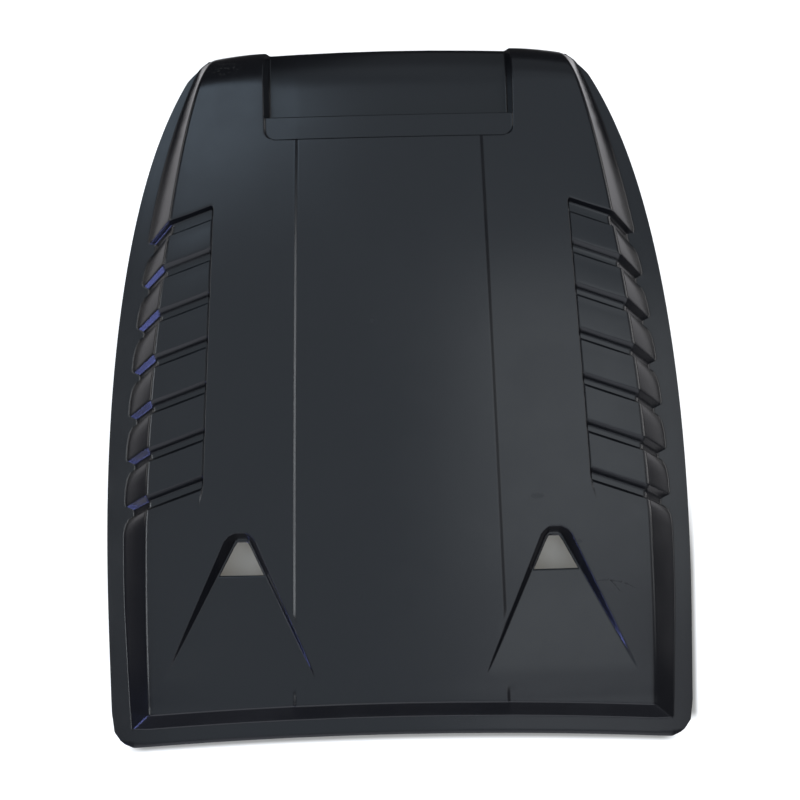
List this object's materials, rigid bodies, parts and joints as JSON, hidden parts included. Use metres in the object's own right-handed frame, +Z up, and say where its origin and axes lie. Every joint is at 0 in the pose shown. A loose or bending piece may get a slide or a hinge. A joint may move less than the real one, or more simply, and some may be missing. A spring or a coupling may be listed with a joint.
{
  "type": "bonnet scoop",
  "caption": "Wide raised bonnet scoop shell with a blind front mouth, slanted louvre grooves along both sides, wedge vents at the rear and a bonding flange.",
  "frame": {"origin": "middle of the footprint, level with the lowest points of the flange underside", "axes": "+Y to the front of the car (the scoop's nose), +X to the side, +Z up from the bonnet"},
  "size_m": [0.8696, 1.0332, 0.0738],
  "materials": {
    "scoop_plastic": "satin black moulded plastic with a faint grain"
  },
  "bodies": {
    "root": {"scoop_shell": "scoop_plastic"}
  },
  "joints": []
}
